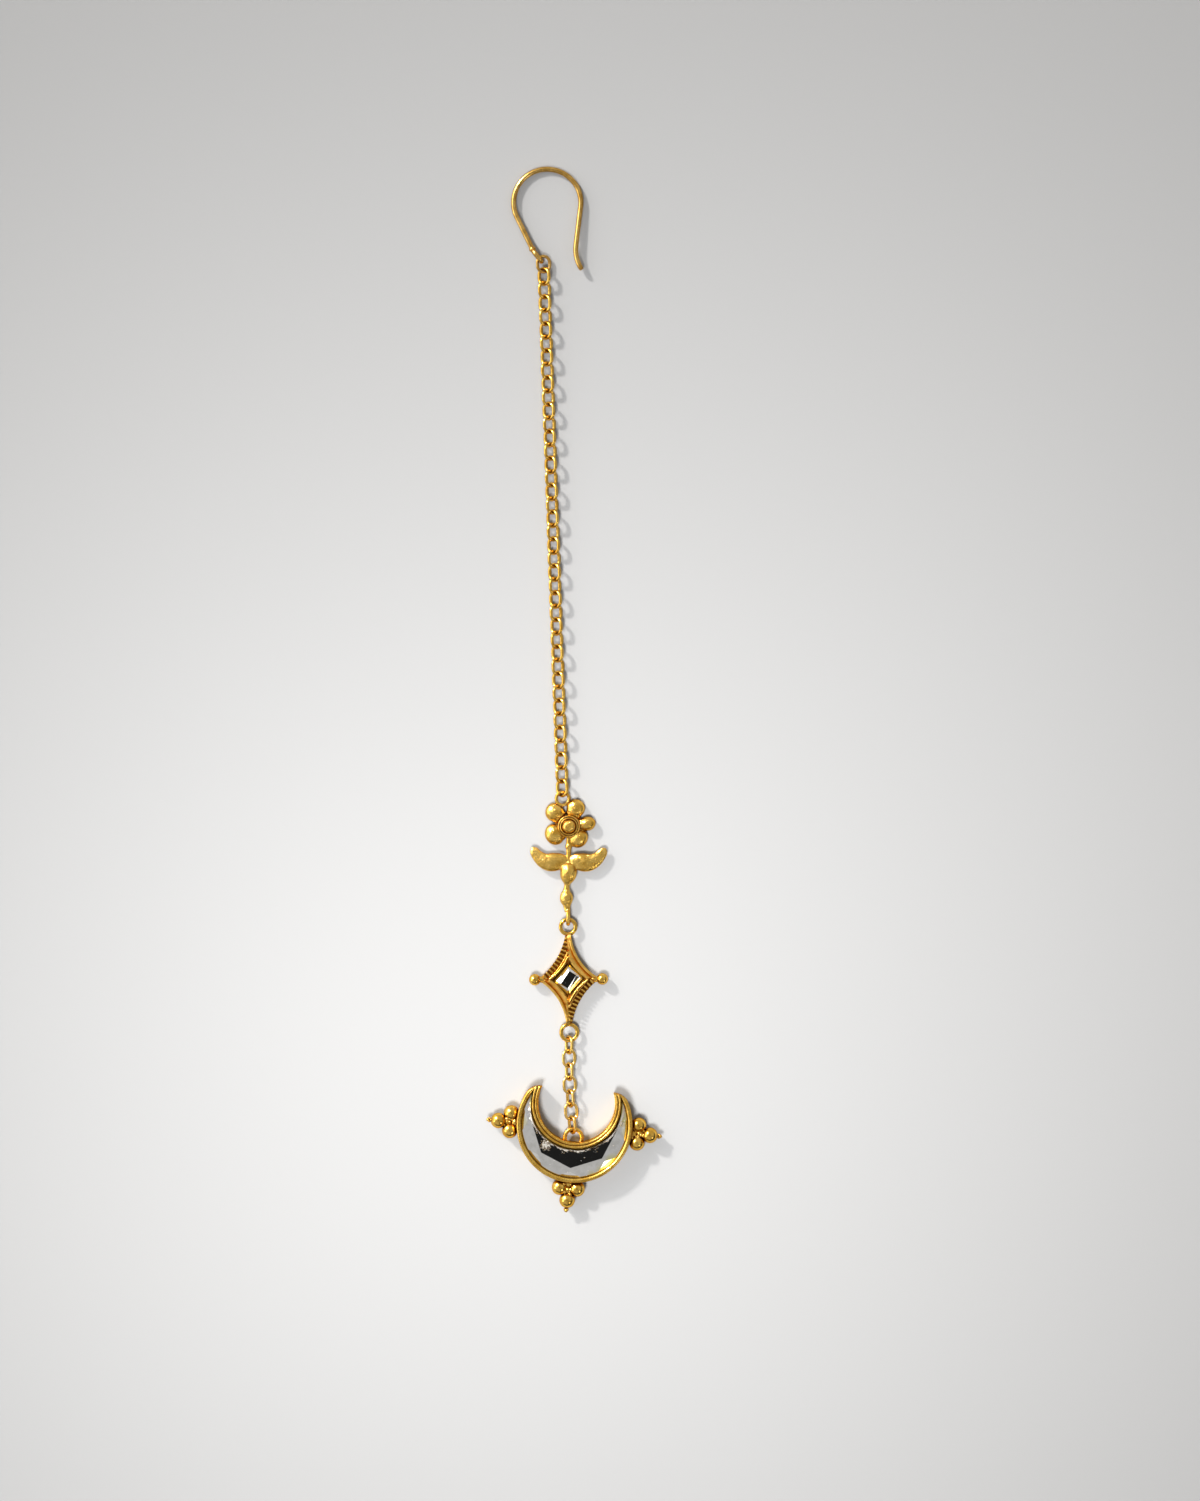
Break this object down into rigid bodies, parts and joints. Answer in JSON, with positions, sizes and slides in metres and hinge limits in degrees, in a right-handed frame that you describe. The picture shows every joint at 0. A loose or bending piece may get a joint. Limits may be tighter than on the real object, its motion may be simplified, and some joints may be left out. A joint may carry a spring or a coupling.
{
  "type": "maang tikka",
  "caption": "Forehead ornament: a stone-set crescent with bead clusters, a hollow-sided star, a flower charm, link chains and a hair hook.",
  "frame": {"origin": "on the table plane, in the middle of the crescent's flat back", "axes": "+Y from the crescent along the chain to the hair hook, +X to the right seen from the front, +Z out of the front face"},
  "size_m": [0.0254, 0.1515, 0.0031],
  "materials": {
    "polished_gold": "polished gold plate",
    "satin_gold": "satin cast gold plate",
    "foiled_glass": "cut glass with a silver foil behind it"
  },
  "bodies": {
    "root": {"crescent_setting": "polished_gold", "crescent_stone": "foiled_glass", "short_chain_link_1": "polished_gold", "short_chain_link_2": "polished_gold", "short_chain_link_3": "polished_gold", "short_chain_link_4": "polished_gold", "short_chain_link_5": "polished_gold", "short_chain_link_6": "polished_gold", "short_chain_link_7": "polished_gold", "star_setting": "satin_gold", "star_stone": "foiled_glass", "flower_charm": "satin_gold", "long_chain": "polished_gold", "hook_ring": "polished_gold", "hair_hook": "polished_gold"}
  },
  "joints": []
}
